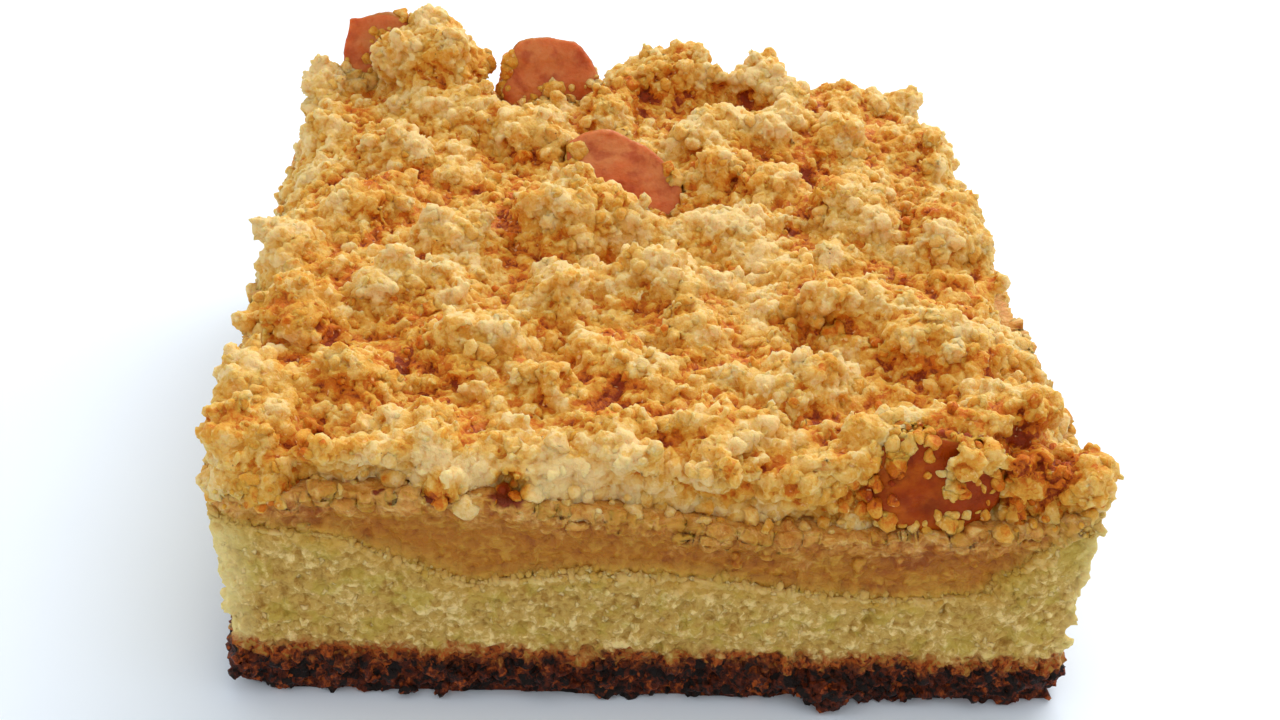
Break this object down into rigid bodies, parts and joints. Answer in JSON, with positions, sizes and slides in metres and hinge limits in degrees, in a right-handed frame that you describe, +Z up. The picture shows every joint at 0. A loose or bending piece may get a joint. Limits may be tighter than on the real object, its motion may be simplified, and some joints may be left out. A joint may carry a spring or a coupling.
{
  "type": "crumb coffee cake",
  "caption": "Square slice of crumb coffee cake: dark baked underside, pale sponge, a band of soft fruit and a thick crumble with pieces of fruit in it.",
  "frame": {"origin": "middle of the slice on the plane of its baked underside", "axes": "+Z up through the layers, -Y towards the cut side that shows its layers in the picture, +X to that side's right"},
  "size_m": [0.0994, 0.0996, 0.0476],
  "materials": {
    "sponge": "matte, fine-pored pale sponge with a dark baked underside",
    "soft_fruit": "moist satin, soft cooked fruit",
    "crumble": "rough, buttery baked crumble",
    "fruit_skin": "soft satin baked fruit skin"
  },
  "bodies": {
    "root": {"sponge_base": "sponge", "fruit_layer": "soft_fruit", "crumb_topping": "crumble", "fruit_wedge_back_left": "fruit_skin", "fruit_wedge_back_middle": "fruit_skin", "fruit_wedge_centre": "fruit_skin", "fruit_wedge_front_right": "fruit_skin"}
  },
  "joints": []
}
